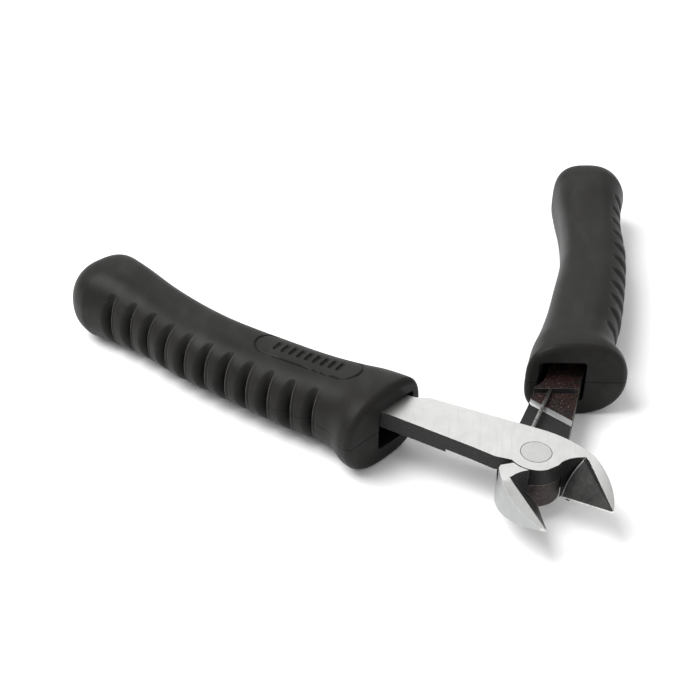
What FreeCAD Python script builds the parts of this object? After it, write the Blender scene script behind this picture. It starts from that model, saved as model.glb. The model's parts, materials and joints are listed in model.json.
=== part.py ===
import FreeCAD, Part
import math
import os

# Diagonal cutting pliers for electronics and light electrical work, built as six real pieces:
# two forged halves with a lap joint, a flush pivot rivet, a wire return spring and two moulded grips.
#
# Frame: +Z up, the closed tool's centre line along Y with the handles towards +Y and the jaws towards -Y,
# X across. The tool lies flat, open, on its grips: z = 0 is the surface it rests on.
#
# Every half and grip is drawn in its own "half frame": the pivot axis is the origin, z = 0 is the middle of
# the head's thickness, u (= local y) runs back from the pivot along the closed tool's centre line, and
# v runs outwards on the handle's side (local x = side * v). side is -1 for the upper half, +1 for the lower.

DIMENSIONS = (
    ("open_angle", 21.13),            # each half's turn away from the centre line in the open rest position
    ("pivot_back", -34.79),            # y of the pivot axis, so that the origin is the middle of the box
    ("rest_height", 8.2),             # height of the head's middle plane above the surface
    ("head_thickness", 8.6),
    ("lap_level", 0.7),               # underside of the upper half's lap above the middle plane
    ("lap_gap", 0.04),
    ("hub_radius", 5.0),
    ("recess_radius", 5.25),          # clearance cut in each jaw round the other half's hub
    ("upper_relief", 0.6),            # depth of the spring relief under the upper half
    ("lower_relief", 1.66),           # depth of the spring relief on the lower half, next to the hub
    ("plateau_relief", 1.22),         # depth of the lower half's shallower step behind it
    ("step_slope", 1.0),              # length of the slope between the two
    ("rivet_shank_radius", 2.2),
    ("rivet_head_radius", 2.86),
    ("rivet_head_depth", 0.9),
    ("running_gap", 0.03),            # radial clearance of the rivet in the upper half
    ("spring_wire", 0.72),            # wire diameter
    ("spring_loop", 3.4),             # radius of the loop's centre line round the rivet
    ("spring_drop", 0.95),            # height between the two legs where they cross
    ("spring_level", 0.05),           # middle height of the loop
    ("spring_bend", 0.9),             # radius where the upper leg turns up
    ("spring_leg_end", 2.8),          # how far the lower leg goes into its hole
    ("spring_hole_gap", 0.08),        # radial clearance of both legs in their holes
    ("lower_spring_hole", 4.4),       # depth, measured from 1 mm in front of the wall
    ("upper_spring_hole", 1.8),
    ("counterbore_radius", 4.0),      # room for the loop in both laps
    ("jaw_length", 17.6),             # pivot axis to tip
    ("edge_gap", 0.02),               # half the gap left between the closed cutting edges
    ("edge_heel", 6.62),              # pivot axis to the start of the cutting edge
    ("edge_level", -2.08),            # height of the cutting edge at its heel
    ("edge_rise", 0.336),             # rise of the cutting edge per mm towards the tip
    ("flush_fall", 0.16),             # fall of the jaw's underside per mm outwards
    ("nose_start", 8.0),              # where the top face starts to fall towards the tip
    ("nose_fall", 0.25),              # fall of the top face per mm towards the tip
    ("strip_width", 1.6),             # width of the flat ground strip outside the bevel, at its widest
    ("upper_tang_thickness", 3.6),
    ("tang_end", 80.0),               # pivot axis to the end of the tang inside the grip
    ("grip_front", 25.8),
    ("grip_round_length", 7.4),
    ("grip_edge_round", 1.3),
    ("grip_rest_level", -8.2),        # flats on the underside of both grips
    ("mouth_depth", 9.0),
    ("mouth_half_height", 4.6),
    ("groove_count", 11),
    ("groove_first", 37.3),
    ("groove_pitch", 4.92),
    ("groove_depth", 1.1),
    ("groove_round", 1.6),
    ("groove_sweep_radius", 11.6),
)

# Grip sections, front to back: distance behind the pivot, inner side v, outer side v, half thickness.
GRIP_STATIONS = (
    (28.4, 2.0, 21.6, 8.55),
    (32.4, 3.2, 20.3, 8.1),
    (36.2, 4.8, 20.7, 7.7),
    (43.1, 7.3, 23.0, 7.25),
    (53.6, 10.4, 25.6, 6.85),
    (67.6, 14.1, 28.3, 6.75),
    (81.6, 15.6, 29.5, 7.2),
    (90.0, 15.8, 31.2, 8.2),
    (93.0, 15.9, 32.1, 8.4),
)
GRIP_INNER_POWER = 3.0                # inner side
GRIP_OUTER_POWER = 2.25               # outer side
GRIP_END_POWER = 2.6                  # squareness of the rounded end
FRONT_TILT = 0.06                     # the upper sleeve's mouth leans back towards its inner side
TILT_PIVOT_V = 21.5                   # the outer side stays where it is
TILT_END_U = 42.0                     # no tilt behind this section
SECTION_POINTS = 28
LOOP_STEPS = 16                       # points along the spring's loop
TANG_WALL = 23.0                      # end of the lower tang's recess, where the spring is anchored
STEP_ENDS = ((19.95, 2.0), (13.2, 9.2))  # foot of the slanted step on both tangs, as (u, v)

UPPER = -1
LOWER = 1
OVERCUT = 12.0                        # how far cutting tools reach past the piece


# ---------------------------------------------------------------- document helpers

def add_sheet(doc):
    """Puts the driving dimensions in a spreadsheet, one alias per cell."""
    sheet = doc.addObject("Spreadsheet::Sheet", "dims")
    for row, (alias, value) in enumerate(DIMENSIONS, start=1):
        sheet.set("A%d" % row, alias)
        sheet.set("B%d" % row, str(value))
        sheet.setAlias("B%d" % row, alias)
    doc.recompute()
    return sheet


def size(alias):
    """The number held by one named cell."""
    return float(SHEET.get(alias))


def plane_of(body, role):
    return [item for item in body.Origin.OriginFeatures if item.Role == role][0]


def add_sketch(body, name, role, offset=None):
    sketch = body.newObject("Sketcher::SketchObject", name)
    sketch.AttachmentSupport = [(plane_of(body, role), "")]
    sketch.MapMode = "FlatFace"
    if offset is not None:
        sketch.AttachmentOffset = offset
    return sketch


def at_height(z):
    return FreeCAD.Placement(FreeCAD.Vector(0, 0, z), FreeCAD.Rotation())


def trace(sketch, points):
    """Closed outline. A plain point is the end of a line, a pair of points is an arc (through, end)."""
    pen = FreeCAD.Vector(points[0][0], points[0][1], 0)
    for step in points[1:] + points[:1]:
        if isinstance(step[0], tuple):
            through = FreeCAD.Vector(step[0][0], step[0][1], 0)
            end = FreeCAD.Vector(step[1][0], step[1][1], 0)
            sketch.addGeometry(Part.Arc(pen, through, end), False)
        else:
            end = FreeCAD.Vector(step[0], step[1], 0)
            if (end - pen).Length > 1e-6:
                sketch.addGeometry(Part.LineSegment(pen, end), False)
        pen = end


def in_plan(side, points):
    """Turns (u, v) outline steps into sketch x, y on a horizontal plane."""
    turned = []
    for step in points:
        if isinstance(step[0], tuple):
            turned.append(tuple((side * v, u) for u, v in step))
        else:
            turned.append((side * step[1], step[0]))
    return turned


def pad(body, sketch, name, length, midplane=False):
    feature = body.newObject("PartDesign::Pad", name)
    feature.Profile = sketch
    feature.setExpression("Length", length)
    feature.Midplane = midplane
    return feature


def pocket(body, sketch, name, length, upwards=False):
    """Cuts below the sketch, or above it, and makes sure that something was removed."""
    before = body.Shape.Volume
    feature = body.newObject("PartDesign::Pocket", name)
    feature.Profile = sketch
    feature.setExpression("Length", length)
    feature.Reversed = upwards
    body.Document.recompute()
    if body.Shape.Volume > before - 1e-4:
        raise RuntimeError("%s cut nothing in %s" % (name, body.Label))
    return feature


def tilted_frame(base, along, across):
    """Placement of a sloping sketch plane: x runs along, y roughly across."""
    normal = along.cross(across)
    return FreeCAD.Placement(base, FreeCAD.Rotation(along, normal.cross(along), normal, "ZXY"))


def on_slope(frame, side, points):
    """Sketch coordinates of the points of a sloping plane straight above or below plan points (u, v)."""
    normal = frame.Rotation.multVec(FreeCAD.Vector(0, 0, 1))
    flat = []
    for u, v in points:
        spot = FreeCAD.Vector(side * v, u, 0)
        spot.z = frame.Base.z - (normal.x * (spot.x - frame.Base.x)
                                 + normal.y * (spot.y - frame.Base.y)) / normal.z
        local = frame.inverse().multVec(spot)
        flat.append((local.x, local.y))
    return flat


def placed(side):
    """Where a half frame sits in the part's frame, open."""
    turn = FreeCAD.Rotation(FreeCAD.Vector(0, 0, 1), -side * size("open_angle"))
    return FreeCAD.Placement(FreeCAD.Vector(0, size("pivot_back"), size("rest_height")), turn)


# ---------------------------------------------------------------- outlines of a half, as (u, v)

def half_outline():
    """Jaw, hub and tang seen from above."""
    tip = -size("jaw_length")
    heel = -size("edge_heel")
    hub = size("hub_radius")
    gap = -size("edge_gap")
    tang_end = size("tang_end")
    hub_side = (1.45, math.sqrt(hub ** 2 - 1.45 ** 2))
    hub_front = (-4.85, -math.sqrt(hub ** 2 - 4.85 ** 2))
    return [
        (tip, gap),
        (tip + 0.05, -0.45),
        ((-13.35, -4.68), (-6.5, -7.05)),             # outer curve of the jaw
        ((-2.2, -7.0), (3.6, -5.45)),                 # shoulder beside the hub
        (23.4, 3.0),                                  # inner edge of the tang
        (25.2, 4.9),                                  # narrows into the grip
        ((52.0, 14.2), (tang_end - 2.0, 18.9)),
        ((tang_end + 0.9, 21.6), (tang_end - 2.0, 24.3)),
        ((52.0, 20.4), (25.2, 12.2)),                 # outer edge inside the grip
        (8.8, 7.5),
        (4.2, 6.35),
        hub_side,
        ((-hub * math.cos(0.7), hub * math.sin(0.7)), hub_front),
        ((-5.55, -3.75), (-6.85, -5.4)),              # hub side of the relief notch
        ((-6.05, -2.4), (heel, gap)),                 # jaw side of the relief notch
    ]


def lap_region(reach):
    """Everything behind the jaw: the hub's clearance circle and the whole tang."""
    radius = size("recess_radius")
    corner = (-2.95, -math.sqrt(radius ** 2 - 2.95 ** 2))
    return [
        corner,
        ((-radius * math.cos(0.45), -radius * math.sin(0.45)), (-radius, 0.0)),
        (-radius, reach),
        (reach * 3, reach),
        (reach * 3, -reach),
        (-5.6, -reach),
        (-4.6, -7.3),
        (-3.55, -6.75),
    ]


def relief_region():
    """The spring's room next to the hub, back to the slanted step on both tangs."""
    return [(2.6, -OVERCUT), (20.1, -OVERCUT), STEP_ENDS[0], STEP_ENDS[1], (14.2, OVERCUT), (2.6, OVERCUT)]


def plateau_region():
    return [(13.0, -OVERCUT), (TANG_WALL, -OVERCUT), (TANG_WALL, 2 * OVERCUT), (13.0, 2 * OVERCUT)]




# ---------------------------------------------------------------- steel halves

def shape_jaw(body, side):
    """Top nose slope, sloping underside and the big cutting bevel."""
    top = size("head_thickness") / 2
    start = -size("nose_start")
    nose = FreeCAD.Vector(0, start, top)
    slope = tilted_frame(nose, FreeCAD.Vector(1, 0, 0), FreeCAD.Vector(0, 1, size("nose_fall")))
    sketch = add_sketch(body, "nose_plan", "XY_Plane", slope)
    trace(sketch, on_slope(slope, side, [(start, 2.0), (start, -9.0), (-20.0, -9.0), (-20.0, 2.0)]))
    pocket(body, sketch, "nose_slope", "dims.head_thickness", upwards=True)

    heel = FreeCAD.Vector(0, -size("edge_heel"), size("edge_level"))
    along = FreeCAD.Vector(0, -1, size("edge_rise"))
    outwards = FreeCAD.Vector(-side, 0, -size("flush_fall"))
    under = tilted_frame(heel, along * -side, outwards)
    sketch = add_sketch(body, "underside_plan", "XY_Plane", under)
    trace(sketch, on_slope(under, side, [
        (-5.15, 1.0), (-5.15, -2.3), (-6.3, -2.6), (-6.3, -5.1), (-3.1, -5.3), (-0.5, -9.0),
        (-20.0, -9.0), (-20.0, 1.0)]))
    pocket(body, sketch, "underside_slope", "dims.head_thickness")

    strip_corner = FreeCAD.Vector(-side * (7.05 - size("strip_width")), -7.0, top)
    bevel = tilted_frame(heel, along * -side, strip_corner - heel)
    sketch = add_sketch(body, "bevel_plan", "XY_Plane", bevel)
    trace(sketch, on_slope(bevel, side, [
        (-6.4, 1.0), (-5.8, -2.1), (-6.0, -3.9), (-6.7, -5.5), (-7.6, -7.6), (-20.0, -7.6), (-20.0, 1.0)]))
    pocket(body, sketch, "bevel", "dims.head_thickness", upwards=True)


def chamfer_step(body, floor):
    """Filed slope in front of the slanted step of the lower half."""
    near, far = [FreeCAD.Vector(LOWER * v, u, floor) for u, v in STEP_ENDS]
    along = far - near
    uphill = FreeCAD.Vector(-along.y, along.x, 0)
    if uphill.y < 0:
        uphill = uphill * -1
    uphill.normalize()
    uphill.z = (size("lower_relief") - size("plateau_relief")) / size("step_slope")
    slope = tilted_frame(near, along if along.cross(uphill).z > 0 else along * -1, uphill)
    sketch = add_sketch(body, "step_slope_plan", "XY_Plane", slope)
    width = size("step_slope") * 1.05
    shift = (uphill.y * width, uphill.x * LOWER * width)
    ends = [tuple(2 * a - b for a, b in zip(STEP_ENDS[0], STEP_ENDS[1])),
            tuple(2 * b - a for a, b in zip(STEP_ENDS[0], STEP_ENDS[1]))]
    behind = [(u + shift[0], v + shift[1]) for u, v in ends]
    trace(sketch, on_slope(slope, LOWER, [ends[0], ends[1], behind[1], behind[0]]))
    pocket(body, sketch, "step_slope", "dims.head_thickness", upwards=True)


def cut_rivet_hole(body, gap):
    """Countersunk from both faces, as the rivet's heads are."""
    half = size("head_thickness") / 2
    profile = rivet_profile(half, gap)
    sketch = add_sketch(body, "rivet_hole_profile", "XZ_Plane")
    trace(sketch, profile)
    body.Document.recompute()
    before = body.Shape.Volume
    hole = body.newObject("PartDesign::Groove", "rivet_hole")
    hole.Profile = sketch
    hole.ReferenceAxis = (sketch, ["V_Axis"])
    hole.Angle = 360.0
    body.Document.recompute()
    if body.Shape.Volume > before - 1e-4:
        raise RuntimeError("the rivet hole cut nothing in %s" % body.Label)


def build_half(doc, label, side):
    body = doc.addObject("PartDesign::Body", label)
    body.Label = label
    outline = add_sketch(body, "outline", "XY_Plane")
    trace(outline, in_plan(side, half_outline()))
    pad(body, outline, "forging", "dims.head_thickness", midplane=True)
    doc.recompute()
    shape_jaw(body, side)

    upper = side == UPPER
    level = size("lap_level") if upper else size("lap_level") - size("lap_gap")
    lap = add_sketch(body, "lap_plan", "XY_Plane", at_height(level))
    trace(lap, in_plan(side, lap_region(30.0)))
    pocket(body, lap, "lap", "dims.head_thickness", upwards=not upper)

    relief = add_sketch(body, "relief_plan", "XY_Plane", at_height(level))
    trace(relief, in_plan(side, relief_region()))
    depth = "dims.upper_relief" if upper else "dims.lower_relief"
    pocket(body, relief, "spring_relief", depth, upwards=upper)
    if not upper:
        plateau = add_sketch(body, "plateau_plan", "XY_Plane", at_height(level))
        trace(plateau, in_plan(side, plateau_region()))
        pocket(body, plateau, "plateau", "dims.plateau_relief")
        chamfer_step(body, level - size("lower_relief"))

    loop_room = add_sketch(body, "loop_room_plan", "XY_Plane", at_height(level))
    loop_room.addGeometry(Part.Circle(FreeCAD.Vector(0, 0, 0), FreeCAD.Vector(0, 0, 1),
                                      size("counterbore_radius")), False)
    pocket(body, loop_room, "loop_room", depth, upwards=upper)

    cut_rivet_hole(body, size("running_gap") if upper else 0.0)
    drill_spring_hole(body, side)
    body.Placement = placed(side)
    return body


def drill_spring_hole(body, side):
    """The wall hole of the lower half lies along its leg. The upper half's leg ends in an upright hole."""
    radius = size("spring_wire") / 2 + size("spring_hole_gap")
    before = body.Shape.Volume
    anchor = spring_anchor(side)
    if side == LOWER:
        direction = spring_leg(side)[1]
        frame = FreeCAD.Placement(anchor - direction, FreeCAD.Rotation(FreeCAD.Vector(0, 0, 1), direction))
        sketch = add_sketch(body, "spring_hole_plan", "XY_Plane", frame)
        depth = size("lower_spring_hole")
    else:
        sketch = add_sketch(body, "spring_hole_plan", "XY_Plane",
                            FreeCAD.Placement(FreeCAD.Vector(anchor.x, anchor.y, size("lap_level")),
                                              FreeCAD.Rotation()))
        depth = size("upper_spring_hole")
    sketch.addGeometry(Part.Circle(FreeCAD.Vector(0, 0, 0), FreeCAD.Vector(0, 0, 1), radius), False)
    hole = body.newObject("PartDesign::Pocket", "spring_hole")
    hole.Profile = sketch
    hole.Length = depth
    hole.Reversed = True
    body.Document.recompute()
    if body.Shape.Volume > before - 1e-4:
        raise RuntimeError("the spring hole cut nothing in %s" % body.Label)


# ---------------------------------------------------------------- rivet

def rivet_profile(half, gap):
    """Half section as (radius, height): a shank with a conical head ground flush at each face."""
    shank = size("rivet_shank_radius") + gap
    head = size("rivet_head_radius") + gap
    depth = size("rivet_head_depth")
    return [(0.0, -half), (head, -half), (shank, depth - half),
            (shank, half - depth), (head, half), (0.0, half)]


def build_rivet(doc):
    body = doc.addObject("PartDesign::Body", "pivot_rivet")
    body.Label = "pivot_rivet"
    sketch = add_sketch(body, "profile", "XZ_Plane")
    trace(sketch, rivet_profile(size("head_thickness") / 2, 0.0))
    doc.recompute()
    turned = body.newObject("PartDesign::Revolution", "turned")
    turned.Profile = sketch
    turned.ReferenceAxis = (sketch, ["V_Axis"])
    turned.Angle = 360.0
    doc.recompute()
    body.Placement = FreeCAD.Placement(FreeCAD.Vector(0, size("pivot_back"), size("rest_height")),
                                       FreeCAD.Rotation())
    return body


# ---------------------------------------------------------------- return spring

def spring_anchor(side):
    """Where a leg meets its half, in the half frame."""
    if side == LOWER:
        return FreeCAD.Vector(6.0, TANG_WALL, 0.12)
    return FreeCAD.Vector(-5.0, 19.0, size("spring_level") - size("spring_drop") / 2)


def spring_leg(side):
    """Tangent point on the loop and unit direction towards the anchor, in the half frame."""
    anchor = spring_anchor(side)
    loop = size("spring_loop")
    reach = math.hypot(anchor.x, anchor.y)
    bearing = math.atan2(anchor.y, anchor.x) + side * math.acos(loop / reach)
    level = size("spring_level") + side * size("spring_drop") / 2
    tangent = FreeCAD.Vector(loop * math.cos(bearing), loop * math.sin(bearing), level)
    direction = anchor - tangent
    direction.normalize()
    return tangent, direction


def build_spring(doc):
    """One wire: lower leg, a loop in front of the rivet, upper leg with its end turned up."""
    wire_radius = size("spring_wire") / 2
    bend = size("spring_bend")
    turned = {side: FreeCAD.Rotation(FreeCAD.Vector(0, 0, 1), -side * size("open_angle"))
              for side in (UPPER, LOWER)}
    lower_tangent, lower_direction = [turned[LOWER].multVec(item) for item in spring_leg(LOWER)]
    upper_tangent, upper_direction = [turned[UPPER].multVec(item) for item in spring_leg(UPPER)]
    lower_end = turned[LOWER].multVec(spring_anchor(LOWER)) + lower_direction * size("spring_leg_end")
    corner = turned[UPPER].multVec(spring_anchor(UPPER))

    start = math.atan2(upper_tangent.y, upper_tangent.x)
    sweep = (start - math.atan2(lower_tangent.y, lower_tangent.x)) % (2 * math.pi)
    upwards = FreeCAD.Vector(0, 0, 1)
    top = FreeCAD.Vector(corner.x, corner.y, size("lap_level") + 1.5)
    before_bend = corner - upper_direction * bend
    after_bend = corner + upwards * bend
    middle = corner + (upwards - upper_direction) * bend * (1 - math.sqrt(0.5))
    course = [upper_tangent]
    for step in range(1, LOOP_STEPS):
        share = step / LOOP_STEPS
        angle = start - sweep * share
        course.append(FreeCAD.Vector(
            size("spring_loop") * math.cos(angle), size("spring_loop") * math.sin(angle),
            upper_tangent.z + size("spring_drop") * (3 - 2 * share) * share ** 2))
    course.append(lower_tangent)
    loop = Part.BSplineCurve()
    loop.interpolate(Points=course, InitialTangent=upper_direction * -1, FinalTangent=lower_direction)
    path = Part.Wire([
        Part.LineSegment(top, after_bend).toShape(),
        Part.Arc(after_bend, middle, before_bend).toShape(),
        Part.LineSegment(before_bend, upper_tangent).toShape(),
        loop.toShape(),
        Part.LineSegment(lower_tangent, lower_end).toShape(),
    ])
    ring = Part.Wire([Part.makeCircle(wire_radius, top, upwards)])
    solid = path.makePipeShell([ring], True, True)
    feature = doc.addObject("Part::Feature", "return_spring")
    feature.Label = "return_spring"
    feature.Shape = solid
    feature.Placement = FreeCAD.Placement(FreeCAD.Vector(0, size("pivot_back"), size("rest_height")),
                                          FreeCAD.Rotation())
    print("spring volume", solid.Volume, "expected", path.Length * math.pi * wire_radius ** 2)
    return feature


# ---------------------------------------------------------------- grips

def grip_section(side, u, inner, outer, half_thickness):
    """Closed curve of one cross-section, a little fuller towards the other handle."""
    middle = (inner + outer) / 2
    half_width = (outer - inner) / 2
    points = []
    for step in range(SECTION_POINTS):
        angle = 2 * math.pi * step / SECTION_POINTS
        c = math.cos(angle)
        s = math.sin(angle)
        power = 2 / (GRIP_OUTER_POWER if c > 0 else GRIP_INNER_POWER)
        v = middle + half_width * math.copysign(abs(c) ** power, c)
        z = half_thickness * math.copysign(abs(s) ** power, s)
        points.append(FreeCAD.Vector(side * v, z, 0))
    curve = Part.BSplineCurve()
    curve.interpolate(Points=points, PeriodicFlag=True, Parameters=list(range(SECTION_POINTS + 1)))
    return curve


def grip_sections():
    """All sections (u, inner, outer, half thickness): rounded front rim, body, rounded end."""
    rim = size("grip_edge_round")
    front = size("grip_front")
    first = GRIP_STATIONS[0]
    sections = []
    for part_of_rim in (0.0, 0.14, 0.42):
        inset = rim - math.sqrt(rim ** 2 - (rim * (1 - part_of_rim)) ** 2)
        u = front + rim * part_of_rim
        inner = first[1] - (first[0] - u) * 0.3
        sections.append((u, inner + inset, first[2] - 0.1 - inset, first[3] - inset))
    sections.extend(GRIP_STATIONS)
    last = GRIP_STATIONS[-1]
    middle = (last[1] + last[2]) / 2
    for part_of_end in (0.4, 0.68, 0.88, 0.985):
        half_width = (last[2] - last[1]) / 2 * (1 - part_of_end ** GRIP_END_POWER) ** (1 / GRIP_END_POWER)
        half_thickness = last[3] * (1 - part_of_end ** GRIP_END_POWER) ** (1 / GRIP_END_POWER)
        u = last[0] + size("grip_round_length") * part_of_end
        sections.append((u, middle - half_width, middle + half_width, half_thickness))
    return sections


def section_place(side, u):
    """Where a cross-section lies. The front ones of the upper sleeve are turned a little."""
    tilt = 0.0
    if side == UPPER:
        share = (TILT_END_U - u) / (TILT_END_U - GRIP_STATIONS[0][0])
        tilt = FRONT_TILT * min(max(share, 0.0), 1.0)
    turn = FreeCAD.Rotation(FreeCAD.Vector(0, 1, 0), math.degrees(math.asin(tilt)))
    hinge = FreeCAD.Vector(side * TILT_PIVOT_V, 0, 0)
    return FreeCAD.Placement(hinge + turn.multVec(hinge * -1) + FreeCAD.Vector(0, 0, -u), turn)


def outer_side_at(u):
    """v and slope of the grip's outer side, by straight steps between stations."""
    for near, far in zip(GRIP_STATIONS, GRIP_STATIONS[1:]):
        if near[0] <= u <= far[0]:
            slope = (far[2] - near[2]) / (far[0] - near[0])
            return near[2] + slope * (u - near[0]), slope
    raise ValueError("no grip section at %s" % u)


def build_grip(doc, label, side):
    body = doc.addObject("PartDesign::Body", label)
    body.Label = label
    sketches = []
    for number, section in enumerate(grip_sections()):
        offset = section_place(side, section[0])
        sketch = add_sketch(body, "section_%02d" % number, "XZ_Plane", offset)
        sketch.addGeometry(grip_section(side, *section), False)
        sketches.append(sketch)
    doc.recompute()
    loft = body.newObject("PartDesign::AdditiveLoft", "sleeve")
    loft.Profile = sketches[0]
    loft.Sections = sketches[1:]
    loft.Ruled = False
    doc.recompute()

    flat = add_sketch(body, "rest_flat", "XY_Plane", at_height(size("grip_rest_level")))
    trace(flat, in_plan(side, [(20.0, -5.0), (20.0, 40.0), (110.0, 40.0), (110.0, -5.0)]))
    pocket(body, flat, "rest_flats", "dims.grip_edge_round")

    cut_grooves(body, side)
    cut_mouth(body, side)
    body.Placement = placed(side)
    return body


def cut_grooves(body, side):
    """Finger grooves over the outer side, each a ring-shaped cutter round the handle's line."""
    doc = body.Document
    ring = size("groove_sweep_radius")
    tool = size("groove_round")
    for number in range(int(size("groove_count"))):
        u = size("groove_first") + size("groove_pitch") * number
        v, slope = outer_side_at(u)
        length = math.hypot(1, slope)
        outwards = (-slope / length, 1 / length)
        reach = tool - size("groove_depth")
        centre = (u + outwards[0] * reach, v + outwards[1] * reach)
        axis_spot = (centre[0] - outwards[0] * ring, centre[1] - outwards[1] * ring)
        sketch = add_sketch(body, "groove_profile_%02d" % number, "XY_Plane")
        sketch.addGeometry(Part.Circle(FreeCAD.Vector(side * centre[1], centre[0], 0),
                                       FreeCAD.Vector(0, 0, 1), tool), False)
        along = (outwards[1], -outwards[0])
        ends = [FreeCAD.Vector(side * (axis_spot[1] + along[1] * t), axis_spot[0] + along[0] * t, 0)
                for t in (-5.0, 5.0)]
        sketch.addGeometry(Part.LineSegment(*ends), True)
        doc.recompute()
        before = body.Shape.Volume
        groove = body.newObject("PartDesign::Groove", "groove_%02d" % number)
        groove.Profile = sketch
        groove.ReferenceAxis = (sketch, ["Axis0"])
        groove.Angle = 360.0
        doc.recompute()
        if body.Shape.Volume > before - 1e-3:
            raise RuntimeError("groove %d cut nothing" % number)


def cut_mouth(body, side):
    """The wide mouth at the front, and behind it the slot that fits the tang."""
    mouth = add_sketch(body, "mouth_plan", "XY_Plane", at_height(-size("mouth_half_height")))
    front = size("grip_front")
    back = front + size("mouth_depth")
    trace(mouth, in_plan(side, [(front - 3, 3.8), (front - 3, 13.1), (back, 16.4), (back, 7.8),
                                (front + 1, 3.8)]))
    feature = body.newObject("PartDesign::Pocket", "mouth")
    feature.Profile = mouth
    feature.setExpression("Length", "dims.mouth_half_height * 2")
    feature.Reversed = True
    body.Document.recompute()

    upper = side == UPPER
    low = size("lap_level") if upper else -size("head_thickness") / 2
    slot = add_sketch(body, "tang_slot_plan", "XY_Plane", at_height(low))
    trace(slot, in_plan(side, half_outline()))
    if upper:
        thickness = "dims.upper_tang_thickness"
    else:
        thickness = "dims.head_thickness / 2 + dims.lap_level - dims.lap_gap"
    pocket(body, slot, "tang_slot", thickness, upwards=True)


# ---------------------------------------------------------------- build and write

def check(doc, pieces):
    for item in doc.Objects:
        if "Invalid" in item.State or "Error" in item.State:
            raise RuntimeError("%s failed: %s" % (item.Name, item.State))
    for piece in pieces:
        shape = piece.Shape
        if shape.isNull() or not shape.isValid() or len(shape.Solids) != 1:
            raise RuntimeError("%s is not one valid solid" % piece.Label)


def main():
    pieces = [
        build_half(DOC, "upper_half", UPPER),
        build_half(DOC, "lower_half", LOWER),
        build_rivet(DOC),
        build_spring(DOC),
        build_grip(DOC, "upper_grip", UPPER),
        build_grip(DOC, "lower_grip", LOWER),
    ]
    DOC.recompute()
    check(DOC, pieces)
    os.makedirs("parts", exist_ok=True)
    whole = None
    for piece in pieces:
        piece.Shape.exportStep("parts/%s.step" % piece.Label)
        box = piece.Shape.optimalBoundingBox()
        whole = box if whole is None else whole.united(box)
        print("%-14s volume %9.1f  x %7.2f %7.2f  y %7.2f %7.2f  z %6.2f %6.2f" % (
            piece.Label, piece.Shape.Volume, box.XMin, box.XMax, box.YMin, box.YMax, box.ZMin, box.ZMax))
    print("whole x %.2f %.2f  y %.2f %.2f  z %.2f %.2f" % (
        whole.XMin, whole.XMax, whole.YMin, whole.YMax, whole.ZMin, whole.ZMax))


DOC = FreeCAD.newDocument("diagonal_cutting_pliers")
SHEET = add_sheet(DOC)
main()
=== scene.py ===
"""Looks of the diagonal cutting pliers: ground steel head, black oxide tangs, moulded rubber grips."""

import json
import math

import bmesh
import bpy
import numpy as np
from mathutils import Matrix, Vector


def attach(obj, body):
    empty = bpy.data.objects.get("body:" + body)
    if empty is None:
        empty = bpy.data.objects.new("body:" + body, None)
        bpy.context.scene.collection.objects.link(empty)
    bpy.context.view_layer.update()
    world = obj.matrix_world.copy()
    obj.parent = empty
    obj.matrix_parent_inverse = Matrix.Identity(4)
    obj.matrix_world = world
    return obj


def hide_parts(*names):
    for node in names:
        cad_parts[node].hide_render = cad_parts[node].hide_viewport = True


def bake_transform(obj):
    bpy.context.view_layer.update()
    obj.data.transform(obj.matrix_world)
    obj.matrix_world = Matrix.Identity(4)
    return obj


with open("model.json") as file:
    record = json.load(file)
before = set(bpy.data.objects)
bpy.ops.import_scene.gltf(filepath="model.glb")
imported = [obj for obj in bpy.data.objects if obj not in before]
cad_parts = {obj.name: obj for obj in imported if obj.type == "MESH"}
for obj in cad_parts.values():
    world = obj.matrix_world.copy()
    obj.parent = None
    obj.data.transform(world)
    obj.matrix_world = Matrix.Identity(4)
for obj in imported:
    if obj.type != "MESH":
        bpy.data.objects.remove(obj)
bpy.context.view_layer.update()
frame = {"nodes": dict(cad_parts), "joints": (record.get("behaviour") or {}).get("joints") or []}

MM = 0.001
PIVOT = Vector(frame["joints"][0]["pos_m"])
OPEN_ANGLE = math.radians(21.13)      # each half's turn away from the centre line
UPPER = -1                            # the half with the top lap, its handle towards -X
LOWER = 1
FACE = 4.3                            # half the head's thickness, mm


def half_matrix(side):
    """Half frame (x = side * v, y = u, z from the head's middle, in mm) to the shared frame in metres."""
    return (Matrix.Translation(PIVOT) @ Matrix.Rotation(-side * OPEN_ANGLE, 4, "Z")
            @ Matrix.Scale(MM, 4))


def link_piece(name, mesh):
    piece = bpy.data.objects.new(name, mesh)
    bpy.context.scene.collection.objects.link(piece)
    return piece


def make_active(piece):
    bpy.context.view_layer.objects.active = piece
    bpy.ops.object.select_all(action="DESELECT")
    piece.select_set(True)


# ---------------------------------------------------------------- materials

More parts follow.
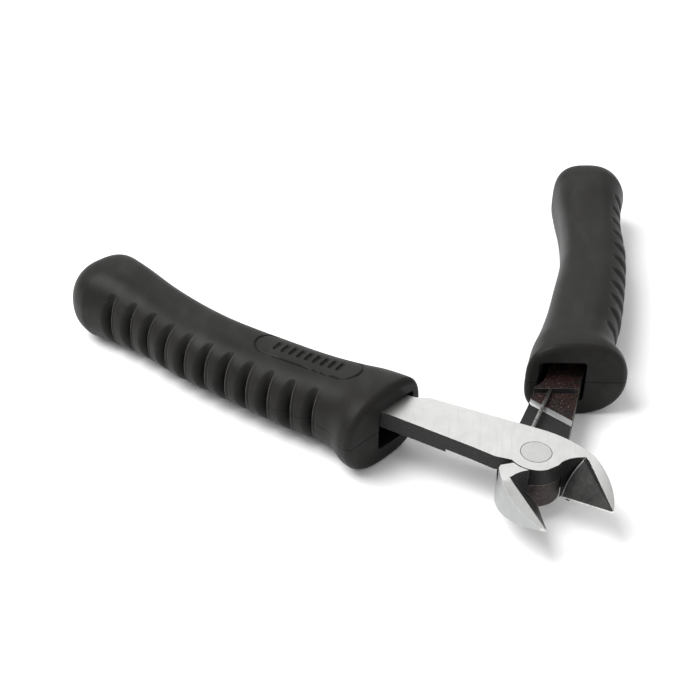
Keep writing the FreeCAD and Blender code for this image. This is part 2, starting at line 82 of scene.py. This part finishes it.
class Nodes:
    """A short way to write a procedural material."""

    SOCKETS = {"color": "Base Color", "rough": "Roughness", "metal": "Metallic", "normal": "Normal",
               "ior": "IOR", "specular": "Specular IOR Level"}

    def __init__(self, name):
        self.material = bpy.data.materials.new(name)
        self.material.use_nodes = True
        self.tree = self.material.node_tree
        self.shader = self.tree.nodes["Principled BSDF"]
        self.coords = self.tree.nodes.new("ShaderNodeTexCoord").outputs["Object"]

    def add(self, kind, inputs=None, **settings):
        node = self.tree.nodes.new(kind)
        for key, value in settings.items():
            setattr(node, key, value)
        for key, value in (inputs or {}).items():
            self.put(node.inputs[key], value)
        return node

    def put(self, socket, value):
        if isinstance(value, bpy.types.NodeSocket):
            self.tree.links.new(value, socket)
        else:
            socket.default_value = value

    def put_colour(self, socket, value):
        """As put, but a tuple is a colour without its alpha."""
        self.put(socket, (*value, 1) if isinstance(value, tuple) else value)

    def space(self, turn=0.0, scale=(1, 1, 1), shift=(0, 0, 0)):
        """Object coordinates turned about Z, then scaled and shifted."""
        turned = self.add("ShaderNodeMapping", {"Vector": self.coords, "Rotation": (0, 0, turn)})
        return self.add("ShaderNodeMapping", {"Vector": turned.outputs[0], "Scale": scale,
                                              "Location": shift}).outputs[0]

    def noise(self, scale, detail=3.0, rough=0.55, at=None):
        return self.add("ShaderNodeTexNoise", {"Vector": at or self.coords, "Scale": scale,
                                               "Detail": detail, "Roughness": rough}).outputs["Fac"]

    def ramp(self, fac, *stops):
        """Stops are (position, grey or colour)."""
        node = self.add("ShaderNodeValToRGB", {"Fac": fac})
        points = node.color_ramp.elements
        while len(points) < len(stops):
            points.new(0.5)
        for point, (position, colour) in zip(points, stops):
            point.position = position
            point.color = (colour, colour, colour, 1) if isinstance(colour, float) else (*colour, 1)
        return node.outputs["Color"]

    def mix(self, fac, a, b):
        node = self.add("ShaderNodeMix", data_type="RGBA")
        self.put(node.inputs["Factor"], fac)
        self.put_colour(node.inputs[6], a)
        self.put_colour(node.inputs[7], b)
        return node.outputs[2]

    def maths(self, operation, a, b=0.0):
        node = self.add("ShaderNodeMath", operation=operation)
        self.put(node.inputs[0], a)
        self.put(node.inputs[1], b)
        return node.outputs[0]

    def bump(self, height, distance, strength=1.0, under=None):
        inputs = {"Height": height, "Distance": distance, "Strength": strength}
        if under is not None:
            inputs["Normal"] = under
        return self.add("ShaderNodeBump", inputs).outputs[0]

    def attribute(self, name):
        return self.add("ShaderNodeAttribute", attribute_name=name).outputs["Fac"]

    def finish(self, **sockets):
        for key, value in sockets.items():
            self.put_colour(self.shader.inputs[self.SOCKETS[key]], value)
        return self.material


def shade(colour, share):
    """The colour made darker or lighter by a share."""
    return tuple(channel * share for channel in colour)


def ground_steel(name, turn, tint):
    """Bright surface-ground steel: fine parallel scratches, faint clouding."""
    n = Nodes(name)
    scratches = n.noise(2600.0, 2.0, at=n.space(turn, (1.0, 0.06, 1.0)))
    cross = n.noise(2100.0, 2.0, at=n.space(turn + 0.9, (1.0, 0.05, 1.0), (0.3, 0.1, 0)))
    cloud = n.noise(420.0, 5.0, 0.65)
    blotch = n.noise(45.0, 3.0, 0.5)
    colour = n.mix(n.ramp(cloud, (0.35, 0.0), (0.75, 1.0)), tint, shade(tint, 0.9))
    colour = n.mix(n.ramp(scratches, (0.56, 0.0), (0.72, 0.4)), colour, shade(tint, 0.76))
    colour = n.mix(n.ramp(cross, (0.60, 0.0), (0.74, 0.3)), colour, shade(tint, 0.8))
    rough = n.ramp(blotch, (0.3, 0.34), (0.7, 0.46))
    normal = n.bump(scratches, 0.000012, 0.6)
    return n.finish(color=colour, metal=1.0, rough=rough, normal=n.bump(cloud, 0.00002, 0.25, normal))


def black_oxide(name, base, rust, speck):
    """Chemically blackened forging skin: fine grain, bright specks, a little brown."""
    n = Nodes(name)
    grain = n.noise(2600.0, 4.0, 0.7)
    patch = n.noise(330.0, 4.0, 0.65)
    dots = n.noise(4300.0, 1.0, 0.5, at=n.space(0.4, (1, 1, 1), (0.02, 0.05, 0.01)))
    colour = n.mix(n.ramp(grain, (0.35, 0.0), (0.7, 1.0)), base, shade(base, 2.0))
    brown = n.ramp(patch, (0.42, 0.0), (0.62, rust))
    colour = n.mix(brown, colour, (0.040, 0.013, 0.010))
    colour = n.mix(n.ramp(dots, (0.66, 0.0), (0.73, speck)), colour, (0.34, 0.25, 0.23))
    rough = n.ramp(grain, (0.3, 0.42), (0.7, 0.62))
    return n.finish(color=colour, metal=0.2, specular=0.22, rough=rough, normal=n.bump(grain, 0.00003, 0.5))


def bevel_face():
    """The big cutting bevels: mottled, with the grain of a coarse grind, their colour kept near black as
    painted shade.
    """
    n = Nodes("bevel_steel")
    mottle = n.noise(420.0, 5.0, 0.65)
    grain = n.noise(2400.0, 3.0, 0.6)
    # painted shade: the ground bevel's colour is kept near black; the mottle and grain are its own
    colour = n.ramp(mottle, (0.3, (0.018, 0.018, 0.018)), (0.55, (0.038, 0.038, 0.037)),
                    (0.8, (0.075, 0.073, 0.07)))
    colour = n.mix(n.ramp(grain, (0.45, 0.0), (0.75, 0.35)), colour, (0.02, 0.02, 0.02))
    return n.finish(color=colour, metal=0.5, specular=0.25, rough=n.ramp(mottle, (0.3, 0.5), (0.8, 0.36)),
                    normal=n.bump(grain, 0.00003, 0.4))


def bright_edge():
    """Narrow worn or ground edges."""
    n = Nodes("edge_steel")
    wear = n.noise(1500.0, 3.0, 0.6)
    colour = n.ramp(wear, (0.3, (0.42, 0.42, 0.41)), (0.6, (0.78, 0.78, 0.76)))
    return n.finish(color=colour, metal=1.0, rough=n.ramp(wear, (0.3, 0.5), (0.7, 0.34)))


def spring_wire():
    """Drawn wire with bright and dark streaks."""
    n = Nodes("spring_wire")
    drawn = n.noise(1400.0, 3.0, 0.6, at=n.space(-OPEN_ANGLE, (1.0, 0.12, 1.0)))
    colour = n.ramp(drawn, (0.3, (0.13, 0.13, 0.125)), (0.65, (0.36, 0.36, 0.35)))
    return n.finish(color=colour, metal=1.0, rough=n.ramp(drawn, (0.3, 0.42), (0.7, 0.28)))


SEAM_HALF_WIDTH = 0.25                # of the dark parting line, mm
SEAM_FADE = (40, 24)                  # behind the pivot: nothing of it, all of it, mm


def dust_specks(n):
    """1 on a few small round specks, else 0."""
    cells = n.add("ShaderNodeTexVoronoi", {"Vector": n.coords, "Scale": 1150.0, "Randomness": 1.0})
    chosen = n.ramp(cells.outputs["Color"], (0.91, 0.0), (0.93, 1.0))
    near = n.ramp(cells.outputs["Distance"], (0.06, 1.0), (0.11, 0.0))
    return n.maths("MULTIPLY", near, chosen)


def parting_seam(n):
    """1 on the parting line at half height, fading away behind the grip's front."""
    place = n.add("ShaderNodeSeparateXYZ", {"Vector": n.coords}).outputs
    height = n.maths("ABSOLUTE", n.maths("SUBTRACT", place["Z"], PIVOT.z))
    line = n.ramp(n.maths("MULTIPLY", height, 1 / (SEAM_HALF_WIDTH * MM)), (0.3, 1.0), (0.8, 0.0))
    none, full = SEAM_FADE
    fade = n.add("ShaderNodeMapRange", {"Value": place["Y"], "From Min": PIVOT.y + none * MM,
                                        "From Max": PIVOT.y + full * MM})
    return n.maths("MULTIPLY", line, fade.outputs[0])


def grip_rubber():
    """Matt black moulding: fine spark-eroded texture, handling sheen, a little dust, painted shade in the
    grooves and a painted highlight on their lips.
    """
    n = Nodes("grip_rubber")
    grain = n.noise(3600.0, 3.0, 0.6)
    cloud = n.noise(70.0, 4.0, 0.55)
    smear = n.noise(260.0, 4.0, 0.6, at=n.space(0.5, (1.0, 0.35, 1.0)))
    seam = parting_seam(n)
    groove_shade = n.attribute("groove_shade")
    lip_highlight = n.attribute("lip_highlight")

    colour = n.ramp(cloud, (0.3, (0.0095, 0.0092, 0.0086)), (0.7, (0.0150, 0.0144, 0.0135)))
    colour = n.mix(n.ramp(smear, (0.5, 0.0), (0.8, 0.35)), colour, (0.026, 0.026, 0.025))
    colour = n.mix(n.maths("MULTIPLY", dust_specks(n), 0.5), colour, (0.30, 0.29, 0.27))
    colour = n.mix(n.maths("MULTIPLY", seam, 0.85), colour, (0.002, 0.002, 0.002))
    # painted shade: the grooves' colour is darkened by their depth
    colour = n.mix(n.maths("MULTIPLY", groove_shade, 0.85), colour, (0.001, 0.001, 0.001))
    # painted highlight: the lip of each groove is lightened
    colour = n.mix(n.maths("MULTIPLY", lip_highlight, 0.8), colour, (0.075, 0.073, 0.07))

    shine = n.maths("MULTIPLY", n.ramp(groove_shade, (0.0, 0.17), (0.8, 0.012)),
                    n.ramp(smear, (0.3, 0.7), (0.75, 1.0)))
    normal = n.bump(grain, 0.00003, 0.35)
    normal = n.bump(smear, 0.00008, 0.2, normal)
    normal = n.bump(seam, -0.00008, 0.8, normal)
    return n.finish(color=colour, rough=n.ramp(cloud, (0.3, 0.40), (0.7, 0.52)), normal=normal,
                    ior=1.45, specular=shine)


def floor_material():
    n = Nodes("floor")
    tone = n.noise(3.0, 2.0)
    colour = n.ramp(tone, (0.0, (0.93, 0.93, 0.93)), (1.0, (0.95, 0.95, 0.95)))
    return n.finish(color=colour, rough=0.9)


# ---------------------------------------------------------------- steel pieces

# Places on a half in mm: u runs back from the pivot, v from the jaw's side towards the handle's.
JAW_BACK = -5.2                       # the jaw has a smaller u than this
JAW_SIDE = 0.1                        # and a smaller v than this
JAW_TIP = -17.0                       # upright faces with a smaller u are the blunt tip
CUTTING_EDGE = -0.2                   # the edge's narrow land has a larger v than this
HEAD_BACK = 1.0                       # the head's outer flank has a smaller u than this
HEAD_SIDE = -5.0                      # and a smaller v than this
STEP = (12.0, 23.0)                   # the lower half's slanted step, in u
STEP_SLOPE = (0.8, 0.97)              # its normal's z
TANG_START = 9.0
HUB_RADIUS = 5.0
HUB_SLACK = 0.12
UPRIGHT = 0.2                         # an upright face's normal has less z than this
EDGE_ROUND = 0.1
RIVET_ROUND = 0.09
BORDER_WIDTH = 0.26                   # of the bright line round a bevel
BORDER_LEAST_AREA = 4                 # smaller bevel faces have no border, square mm
PLAIN_FRONT = -7.2                    # the border isn't bright where u is smaller than this
PLAIN_HEIGHT = 1.9                    # and z is larger than this
STEEL = ("ground", "flank", "oxide", "tang_skin", "hub_skin", "bevel", "edge")


def steel_copy(node, name, body):
    """The CAD piece with merged facets, ready for small edge rounds."""
    piece = link_piece(name, frame["nodes"][node].data.copy())
    piece.data.materials.clear()
    bm = bmesh.new()
    bm.from_mesh(piece.data)
    bmesh.ops.remove_doubles(bm, verts=bm.verts, dist=2e-7)
    bmesh.ops.dissolve_limit(bm, angle_limit=math.radians(0.6), verts=bm.verts, edges=bm.edges)
    bm.to_mesh(piece.data)
    bm.free()
    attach(piece, body)
    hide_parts(node)
    return piece


def add_edge_rounds(piece, width, material_index):
    bevel = piece.modifiers.new("edge_rounds", "BEVEL")
    bevel.width = width * MM
    bevel.segments = 2
    bevel.limit_method = "ANGLE"
    bevel.angle_limit = math.radians(24)
    bevel.material = material_index
    make_active(piece)
    bpy.ops.object.modifier_apply(modifier=bevel.name)
    bpy.ops.object.shade_smooth_by_angle(angle=math.radians(40))
    weighted = piece.modifiers.new("weighted_normals", "WEIGHTED_NORMAL")
    weighted.keep_sharp = True
    weighted.weight = 100
    bpy.ops.object.modifier_apply(modifier=weighted.name)


def looks_outwards(normal):
    """Whether a face is upright and looks away from the handle's side, and not backwards."""
    return abs(normal[2]) < UPRIGHT and normal[1] < -0.3 and normal[0] < 0.3


def jaw_kind(u, v, normal):
    """Which finish a face of a jaw has."""
    upright = abs(normal[2]) < UPRIGHT
    if abs(normal[2]) > 0.9:
        return "ground"
    if upright and (u < JAW_TIP or (v > CUTTING_EDGE and normal[1] > 0.9)):
        return "edge"
    if 0.4 < abs(normal[2]) < 0.9 and normal[1] > 0:
        return "bevel"
    if looks_outwards(normal):
        return "flank"
    if normal[2] < -UPRIGHT:
        return "ground"
    return "oxide"


def steel_kind(side, centre, normal):
    """Which finish a face of a half has, from its place (u, v, z in mm) and normal."""
    u, v, z = centre
    if abs(normal[2]) > 0.99 and abs(z) > FACE - 0.05:
        return "ground"
    if u < HEAD_BACK and v < HEAD_SIDE and looks_outwards(normal):
        return "flank"
    if u < JAW_BACK and v < JAW_SIDE:
        return jaw_kind(u, v, normal)
    if side == UPPER:
        return "oxide"
    if STEP[0] < u < STEP[1] and STEP_SLOPE[0] < normal[2] < STEP_SLOPE[1]:
        return "flank"
    if normal[2] > 0.5 and u > TANG_START:
        return "tang_skin"
    if abs(normal[2]) < UPRIGHT and abs(math.hypot(u, v) - HUB_RADIUS) < HUB_SLACK:
        return "hub_skin"
    return "oxide"


def add_ground_border(piece, inside, border, back):
    """A bright ground line round each cutting bevel, but not along its front upper part."""
    bm = bmesh.new()
    bm.from_mesh(piece.data)
    faces = [f for f in bm.faces
             if f.material_index == inside and f.calc_area() > BORDER_LEAST_AREA * MM * MM]
    strip = bmesh.ops.inset_individual(bm, faces=faces, thickness=BORDER_WIDTH * MM, use_even_offset=False)
    for face in strip["faces"]:
        spot = back @ face.calc_center_median()
        plain = spot.y < PLAIN_FRONT and spot.z > PLAIN_HEIGHT
        face.material_index = inside if plain else border
    bm.to_mesh(piece.data)
    bm.free()


def dress_half(side, name, body, materials):
    """A half's finishes, the border of its bevel and its edge rounds."""
    piece = steel_copy(name, name + "_steel", body)
    for kind in STEEL:
        piece.data.materials.append(materials[kind])
    back = half_matrix(side).inverted()
    turn = back.to_3x3().normalized()
    for face in piece.data.polygons:
        spot = back @ face.center
        normal = turn @ face.normal
        kind = steel_kind(side, (spot.y, side * spot.x, spot.z), (normal.y, side * normal.x, normal.z))
        face.material_index = STEEL.index(kind)
    add_ground_border(piece, STEEL.index("bevel"), STEEL.index("edge"), back)
    add_edge_rounds(piece, EDGE_ROUND, STEEL.index("edge"))


def build_rivet(oxide):
    rivet = steel_copy("pivot_rivet", "pivot_rivet_steel", "lower")
    rivet.data.materials.append(ground_steel("rivet_steel", 0.9, (0.49, 0.49, 0.48)))
    rivet.data.materials.append(oxide)
    add_edge_rounds(rivet, RIVET_ROUND, 1)


def build_spring():
    """The CAD wire, smooth, with its place baked into its mesh."""
    wire = link_piece("return_spring_wire", frame["nodes"]["return_spring"].data.copy())
    wire.data.materials.clear()
    wire.data.materials.append(spring_wire())
    for face in wire.data.polygons:
        face.use_smooth = True
    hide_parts("return_spring")
    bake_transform(wire)


def build_steel():
    oxide = black_oxide("oxide_steel", (0.012, 0.012, 0.012), 0.0, 0.15)
    materials = {
        "ground": ground_steel("ground_steel", 0.5, (0.57, 0.57, 0.56)),
        "oxide": oxide,
        "bevel": bevel_face(),
        "edge": bright_edge(),
        "flank": ground_steel("flank_steel", 1.3, (0.40, 0.405, 0.405)),
        "hub_skin": black_oxide("hub_skin", (0.026, 0.023, 0.022), 0.25, 0.5),
        "tang_skin": black_oxide("tang_skin", (0.008, 0.006, 0.006), 0.55, 0.8),
    }
    dress_half(UPPER, "upper_half", "upper", materials)
    dress_half(LOWER, "lower_half", "lower", materials)
    build_rivet(oxide)
    build_spring()


# ---------------------------------------------------------------- grips

# Distance behind the pivot, inner side, outer side, half thickness (mm).
GRIP_STATIONS = np.array((
    (25.8, 1.2, 21.5, 8.55),
    (28.4, 2.0, 21.6, 8.55),
    (32.4, 3.2, 20.3, 8.1),
    (36.2, 4.8, 20.7, 7.7),
    (43.1, 7.3, 23.0, 7.25),
    (53.6, 10.4, 25.6, 6.85),
    (67.6, 14.1, 28.3, 6.75),
    (81.6, 15.6, 29.5, 7.2),
    (90.0, 15.8, 31.2, 8.2),
    (93.0, 15.9, 32.1, 8.4),
))
INNER, OUTER, HALF = 1, 2, 3          # the columns after the first
FRONT = GRIP_STATIONS[0, 0]
OUTER_POWER = 2.25                    # of a section's superellipse on the outer side
INNER_POWER = 3.0
RIM = 1.3                             # radius of the front rim
RIM_ROWS = 14
END_LENGTH = 7.3                      # rounded end
END_POWER = 2.6
END_ROWS = 25
ROW_STEP = 0.2
BADGE_ROW_STEP = 0.13
LAST_GAP = 0.3                        # the rows of that step stop less than this before the rounded end
REST_LEVEL = -8.2                     # the flat underside
RING = 340                            # points round a section
ANGLES = np.linspace(0, 2 * math.pi, 1441)

FRONT_TILT = 0.06                     # the upper grip's front leans back by this towards its inner side
TILT_FULL = 28.4                      # full tilt up to here, mm behind the pivot
TILT_NONE = 42.0                      # and none from here on
TILT_CENTRE = 21.5                    # the v that stays in place

MOUTH = (3.8, 13.1, 4.6)              # inner side, outer side, half height
MOUTH_DEPTH = 8.5
MOUTH_LEAN = 0.4                      # outwards, per mm of depth
MOUTH_POWER = 14                      # of its rounded rectangle

CARVED = (30, 92.9)                   # only rows between these are carved
GROOVES = 11
GROOVE_DEPTH = 1.4
GROOVE_HALF_HEIGHT = 6.1
GROOVE_LEAST_WIDTH = 0.55
GROOVE_EXTRA_WIDTH = 1.75             # at half height
GROOVE_SETBACK = 2.0                  # inside the outer side, where a groove's place is measured
FIRST_GROOVE = 37.55                  # its deepest line, behind the pivot
GROOVE_PITCH = 4.60
GROOVE_GROWTH = 0.0315                # of the pitch, so that the grooves spread towards the end
LIP_PLACE = -0.68                     # the lip's painted highlight, behind the groove's deepest line
LIP_HALF_WIDTH = 0.16
# Distance behind a groove's deepest line, share of its depth: a shallow dip, the lip and the wall.
GROOVE_WALL = ((-1.45, 0.0), (-1.2, 0.16), (-1.0, 0.16), (-0.78, 0.02), (-0.62, 0.03), (-0.5, 0.2),
               (-0.32, 0.8), (-0.1, 0.98), (0.0, 1.0))

BADGE_ROWS = (33.0, 56.5)
BADGE_CENTRE = (44.9, 13.75)          # u, v
BADGE_DIRECTION = (0.963, 0.268)
BADGE_HALF_LENGTH = 11.6
BADGE_RADIUS = 3.4
BADGE_LEAST_HEIGHT = 4.0              # the panel is only on the grip's top
OUTLINE_HALF_WIDTH = 0.26
OUTLINE_DEPTH = 0.32
BARS = 9
BAR_PITCH = 1.75
BAR_REACH = 1.0                       # half length without the round ends
BAR_RADIUS = 0.5
BAR_SLOPE = 0.2
BAR_DEPTH = 0.38


def along_stations(column, u):
    """Smooth curve through the stations."""
    xs = GRIP_STATIONS[:, 0]
    ys = GRIP_STATIONS[:, column]
    slope = np.gradient(ys, xs)
    i = int(np.clip(np.searchsorted(xs, u) - 1, 0, len(xs) - 2))
    step = xs[i + 1] - xs[i]
    t = (u - xs[i]) / step
    return (ys[i] * (1 + 2 * t) * (1 - t) ** 2 + slope[i] * step * t * (1 - t) ** 2
            + ys[i + 1] * t * t * (3 - 2 * t) + slope[i + 1] * step * t * t * (t - 1))


def ring_at(inner, outer, half):
    """One section as RING evenly spaced (v, z) points, from the middle of the outer side over the top."""
    c = np.cos(ANGLES)
    s = np.sin(ANGLES)
    power = np.where(c > 0, 2 / OUTER_POWER, 2 / INNER_POWER)
    v = (inner + outer) / 2 + (outer - inner) / 2 * np.sign(c) * np.abs(c) ** power
    z = half * np.sign(s) * np.abs(s) ** power
    run = np.concatenate(([0], np.cumsum(np.hypot(np.diff(v), np.diff(z)))))
    wanted = np.linspace(0, run[-1], RING, endpoint=False)
    return np.stack((np.interp(wanted, run, v), np.interp(wanted, run, z)), axis=1)


def groove_depth(d, e):
    """Depth of a finger groove at distance d behind its deepest line; e is 1 in the middle, 0 at its ends."""
    width = np.maximum(GROOVE_LEAST_WIDTH + GROOVE_EXTRA_WIDTH * np.sqrt(np.maximum(e, 0)), 0.01)
    scoop = np.where(d >= 0, np.cos(np.clip(d / width, 0, 1) * math.pi / 2) ** 1.6, 0)
    wall = np.interp(d, *zip(*GROOVE_WALL))
    return np.where(d >= 0, scoop, wall) * np.maximum(e, 0) ** 0.8 * GROOVE_DEPTH


def carve_grooves(u, v, z, middle, outer_slope):
    """Depth of the grooves and strength of the painted highlight on their lips at a row's points, all on the
    outer side.
    """
    total = np.zeros_like(v)
    lip_highlight = np.zeros_like(v)
    ends = 1 - (z / GROOVE_HALF_HEIGHT) ** 2
    for k in range(GROOVES):
        at = FIRST_GROOVE + GROOVE_PITCH * k + GROOVE_GROWTH * k * k
        tip = along_stations(OUTER, at) - GROOVE_SETBACK
        d = u + outer_slope * (v - tip) - at
        total = np.maximum(total, groove_depth(d, ends))
        near = np.clip(1 - np.abs(d - LIP_PLACE) / LIP_HALF_WIDTH, 0, 1)
        lip_highlight = np.maximum(lip_highlight, near * np.clip(ends * 2, 0, 1))
    return np.where(v > middle, total, 0), np.where(v > middle, lip_highlight, 0)


def badge_depth(u, v):
    """A plain oval panel on top of one grip: a sunk outline and a row of short sunk bars."""
    from_u = u - BADGE_CENTRE[0]
    from_v = v - BADGE_CENTRE[1]
    along = from_u * BADGE_DIRECTION[0] + from_v * BADGE_DIRECTION[1]
    across = -from_u * BADGE_DIRECTION[1] + from_v * BADGE_DIRECTION[0]
    straight = BADGE_HALF_LENGTH - BADGE_RADIUS
    rim = np.hypot(np.maximum(np.abs(along) - straight, 0), across) - BADGE_RADIUS
    line = np.clip(1 - np.abs(rim) / OUTLINE_HALF_WIDTH, 0, 1)
    bars = np.zeros_like(along)
    for k in range(BARS):
        aside = np.abs(along - (k - (BARS - 1) / 2) * BAR_PITCH)
        bar = np.hypot(aside, np.maximum(np.abs(across) - BAR_REACH, 0))
        bars = np.maximum(bars, np.clip((BAR_RADIUS - bar) / BAR_SLOPE, 0, 1))
    return OUTLINE_DEPTH * line ** 0.7 + BAR_DEPTH * bars


def grip_rows(side):
    """All rings from the front rim to the rounded end, as (u, ring) pairs."""
    rows = []
    for quarter in np.linspace(0, math.pi / 2, RIM_ROWS + 1)[:-1]:
        u = FRONT + RIM * (1 - math.cos(quarter))
        inset = RIM * (1 - math.sin(quarter))
        rows.append((u, ring_at(along_stations(INNER, u) + inset, along_stations(OUTER, u) - inset,
                                along_stations(HALF, u) - inset)))
    body = [FRONT + RIM]
    while body[-1] < GRIP_STATIONS[-1, 0] - LAST_GAP:
        on_badge = side == UPPER and BADGE_ROWS[0] < body[-1] < BADGE_ROWS[1]
        body.append(body[-1] + (BADGE_ROW_STEP if on_badge else ROW_STEP))
    for u in body:
        rows.append((u, ring_at(along_stations(INNER, u), along_stations(OUTER, u), along_stations(HALF, u))))
    last_u, inner, outer, half = GRIP_STATIONS[-1]
    middle = (inner + outer) / 2
    for share in np.sin(np.linspace(0, math.pi / 2, END_ROWS + 1)[:-1]):
        size = (1 - share ** END_POWER) ** (1 / END_POWER)
        half_width = (outer - inner) / 2 * size
        rows.append((last_u + END_LENGTH * share,
                     ring_at(middle - half_width, middle + half_width, half * size)))
    return rows


def carve(side, u, ring):
    """Moves a ring's points inwards where grooves and the badge are; also gives its two marks, the groove
    depth for the painted shade and the painted highlight on the lips.
    """
    if not CARVED[0] < u < CARVED[1]:
        return ring, np.zeros((2, len(ring)))
    v = ring[:, 0]
    z = ring[:, 1]
    ahead = np.roll(ring, -1, axis=0) - np.roll(ring, 1, axis=0)
    inward = np.stack((-ahead[:, 1], ahead[:, 0]), axis=1)
    inward /= np.maximum(np.linalg.norm(inward, axis=1, keepdims=True), 1e-9)
    middle = (along_stations(INNER, u) + along_stations(OUTER, u)) / 2
    slope = along_stations(OUTER, u + 0.5) - along_stations(OUTER, u - 0.5)
    depth, lip_highlight = carve_grooves(u, v, z, middle, slope)
    if side == UPPER and BADGE_ROWS[0] < u < BADGE_ROWS[1]:
        depth = depth + np.where(z > BADGE_LEAST_HEIGHT, badge_depth(u, v), 0)
    return ring + inward * depth[:, None], np.stack((depth / GROOVE_DEPTH, lip_highlight))


def mouth_rings(first):
    """Rings from the mouth's floor out to its edge, and over the front face to the first ring."""
    inner, outer, half = MOUTH
    centre = np.array([(inner + outer) / 2, 0.0])
    ray = first - centre
    angle = np.arctan2(ray[:, 1] / half, ray[:, 0] / ((outer - inner) / 2))
    c = np.cos(angle)
    s = np.sin(angle)
    square = (np.abs(c) ** MOUTH_POWER + np.abs(s) ** MOUTH_POWER) ** (-1 / MOUTH_POWER)
    edge = centre + np.stack((c * square * (outer - inner) / 2, s * square * half), axis=1)
    rings = []
    for depth in (MOUTH_DEPTH, 5.0, 2.0, 0.5, 0.15):
        rings.append((FRONT + depth, edge + np.array([depth * MOUTH_LEAN, 0.0])))
    for share in (0.02, 0.05, 0.25, 0.5, 0.75, 0.93):
        rings.append((FRONT, edge + (first - edge) * share))
    return rings


def front_tilt(side, u):
    if side == LOWER:
        return 0.0
    return FRONT_TILT * float(np.clip((TILT_NONE - u) / (TILT_NONE - TILT_FULL), 0, 1))


def grip_points(side, rows):
    """The points of all rings in the shared frame."""
    points = np.empty((len(rows), RING, 3))
    for i, (u, ring, _) in enumerate(rows):
        points[i, :, 0] = side * ring[:, 0]
        points[i, :, 1] = u + front_tilt(side, u) * (TILT_CENTRE - ring[:, 0])
        points[i, :, 2] = np.maximum(ring[:, 1], REST_LEVEL)
    matrix = np.array(half_matrix(side))
    return points.reshape(-1, 3) @ matrix[:3, :3].T + matrix[:3, 3]


def grip_faces(side, count):
    """Quads between neighbouring rings, the mouth's floor and the end, all facing outwards."""
    starts = np.arange(count - 1)[:, None] * RING
    steps = np.arange(RING)[None, :]
    near = (starts + steps).ravel()
    beside = (starts + (steps + 1) % RING).ravel()
    quads = np.stack((near, beside, beside + RING, near + RING), axis=1)
    floor = list(range(RING))
    end = list(range((count - 1) * RING, count * RING))
    if side == LOWER:
        return quads[:, ::-1].tolist() + [floor, end[::-1]]
    return quads.tolist() + [floor[::-1], end]


def build_grip(side, node, body, material):
    body_rows = grip_rows(side)
    rows = [(u, ring, np.zeros((2, RING))) for u, ring in mouth_rings(body_rows[0][1])]
    rows += [(u, *carve(side, u, ring)) for u, ring in body_rows]
    mesh = bpy.data.meshes.new(node + "_rubber")
    mesh.from_pydata(grip_points(side, rows).tolist(), [], grip_faces(side, len(rows)))
    mesh.validate()
    mesh.materials.append(material)
    marks = np.array([row_marks for _, _, row_marks in rows])
    for number, label in enumerate(("groove_shade", "lip_highlight")):
        attribute = mesh.attributes.new(label, "FLOAT", "POINT")
        attribute.data.foreach_set("value", np.clip(marks[:, number].ravel(), 0, 1).astype(np.float32))
    piece = link_piece(node + "_rubber", mesh)
    mesh.shade_smooth()
    make_active(piece)
    bpy.ops.object.shade_smooth_by_angle(angle=math.radians(50))
    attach(piece, body)
    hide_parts(node)


# ---------------------------------------------------------------- stage, lights, camera

def build_stage():
    mesh = bpy.data.meshes.new("floor")
    reach = 3.0
    corners = [(-reach, -reach, 0), (reach, -reach, 0), (reach, reach, 0), (-reach, reach, 0)]
    mesh.from_pydata(corners, [], [(0, 1, 2, 3)])
    mesh.materials.append(floor_material())
    floor = link_piece("floor", mesh)


def add_softbox(name, place, width, height, power):
    """A rectangular light that points at the origin."""
    light = bpy.data.lights.new(name, "AREA")
    light.shape = "RECTANGLE"
    light.size = width
    light.size_y = height
    light.energy = power
    lamp = bpy.data.objects.new(name, light)
    lamp.location = place
    lamp.rotation_euler = (-Vector(place)).to_track_quat("-Z", "Y").to_euler()
    bpy.context.scene.collection.objects.link(lamp)


def build_lights():
    world = bpy.data.worlds.new("studio")
    world.use_nodes = True
    background = world.node_tree.nodes["Background"]
    background.inputs["Color"].default_value = (1.0, 1.0, 1.0, 1)
    background.inputs["Strength"].default_value = 0.68
    bpy.context.scene.world = world
    add_softbox("key", (-0.45, 0.15, 0.75), 0.6, 0.6, 9.5)
    add_softbox("back", (0.32, 0.75, 0.60), 0.9, 0.5, 1.6)


# The camera stands in front of the open jaws and to the left, looking down on the tool.
VIEW_TURN = math.radians(-23.775)
VIEW_ELEVATION = math.radians(36.651)
VIEW_ROLL = math.radians(2.036)
VIEW_OFFSET = (-33.786, 16.946, 267.06)       # right, up and back from the pivot's top face, mm
VIEW_LENS = 77.142


def build_camera():
    tilt = Matrix.Rotation(math.pi / 2 - VIEW_ELEVATION, 4, "X")
    frame_of_view = (Matrix.Translation(PIVOT + Vector((0, 0, FACE * MM)))
                     @ Matrix.Rotation(VIEW_TURN, 4, "Z") @ tilt)
    data = bpy.data.cameras.new("camera")
    data.sensor_width = 36.0
    data.lens = VIEW_LENS
    data.clip_start = 0.01
    camera = bpy.data.objects.new("camera", data)
    camera.matrix_world = (frame_of_view @ Matrix.Translation(Vector(VIEW_OFFSET) * MM)
                           @ Matrix.Rotation(VIEW_ROLL, 4, "Z"))
    bpy.context.scene.collection.objects.link(camera)
    bpy.context.scene.camera = camera


build_camera()
build_steel()
rubber = grip_rubber()
build_grip(UPPER, "upper_grip", "upper", rubber)
build_grip(LOWER, "lower_grip", "lower", rubber)
build_stage()
build_lights()
bpy.context.scene.view_settings.view_transform = "Standard"

bpy.context.view_layer.update()
